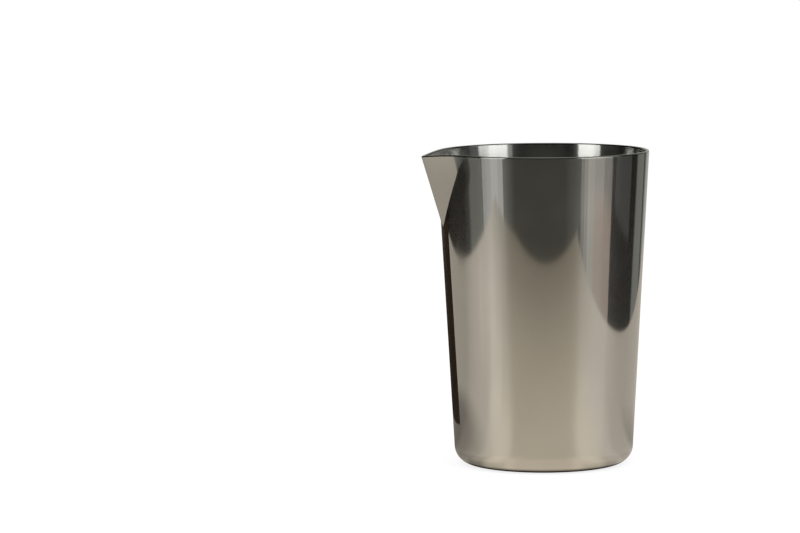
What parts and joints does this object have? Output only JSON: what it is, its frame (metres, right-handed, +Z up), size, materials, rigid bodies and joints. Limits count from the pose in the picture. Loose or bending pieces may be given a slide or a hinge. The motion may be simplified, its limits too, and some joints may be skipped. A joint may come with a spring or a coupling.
{
  "type": "cocktail mixing cup",
  "caption": "Tapered double-walled steel mixing cup with a rounded foot and a pointed pouring beak pressed out of its rim, for stirring drinks over ice.",
  "frame": {"origin": "centre of the flat base, on the surface that the cup stands on and on the axis of the round wall", "axes": "+Z up along the wall's axis, out of the mouth; -X towards the tip of the pouring beak; XZ is the mirror plane"},
  "size_m": [0.1024, 0.0944, 0.14],
  "materials": {
    "polished_steel": "mirror-like polish with faint drawing lines round the wall",
    "rim_steel": "ground round and polished",
    "satin_steel": "satin, brushed round the wall",
    "pan_steel": "as rolled",
    "base_steel": "satin, turned",
    "seal_glass": "fused sealing glass",
    "getter_alloy": "pressed powder",
    "strap_steel": "as rolled"
  },
  "bodies": {
    "root": {"outer_shell": "polished_steel", "rim_bead": "rim_steel", "inner_cup": "satin_steel", "bottom_pan": "pan_steel", "base_cover": "base_steel", "port_seal": "seal_glass", "getter": "getter_alloy", "getter_strap": "strap_steel"}
  },
  "joints": []
}
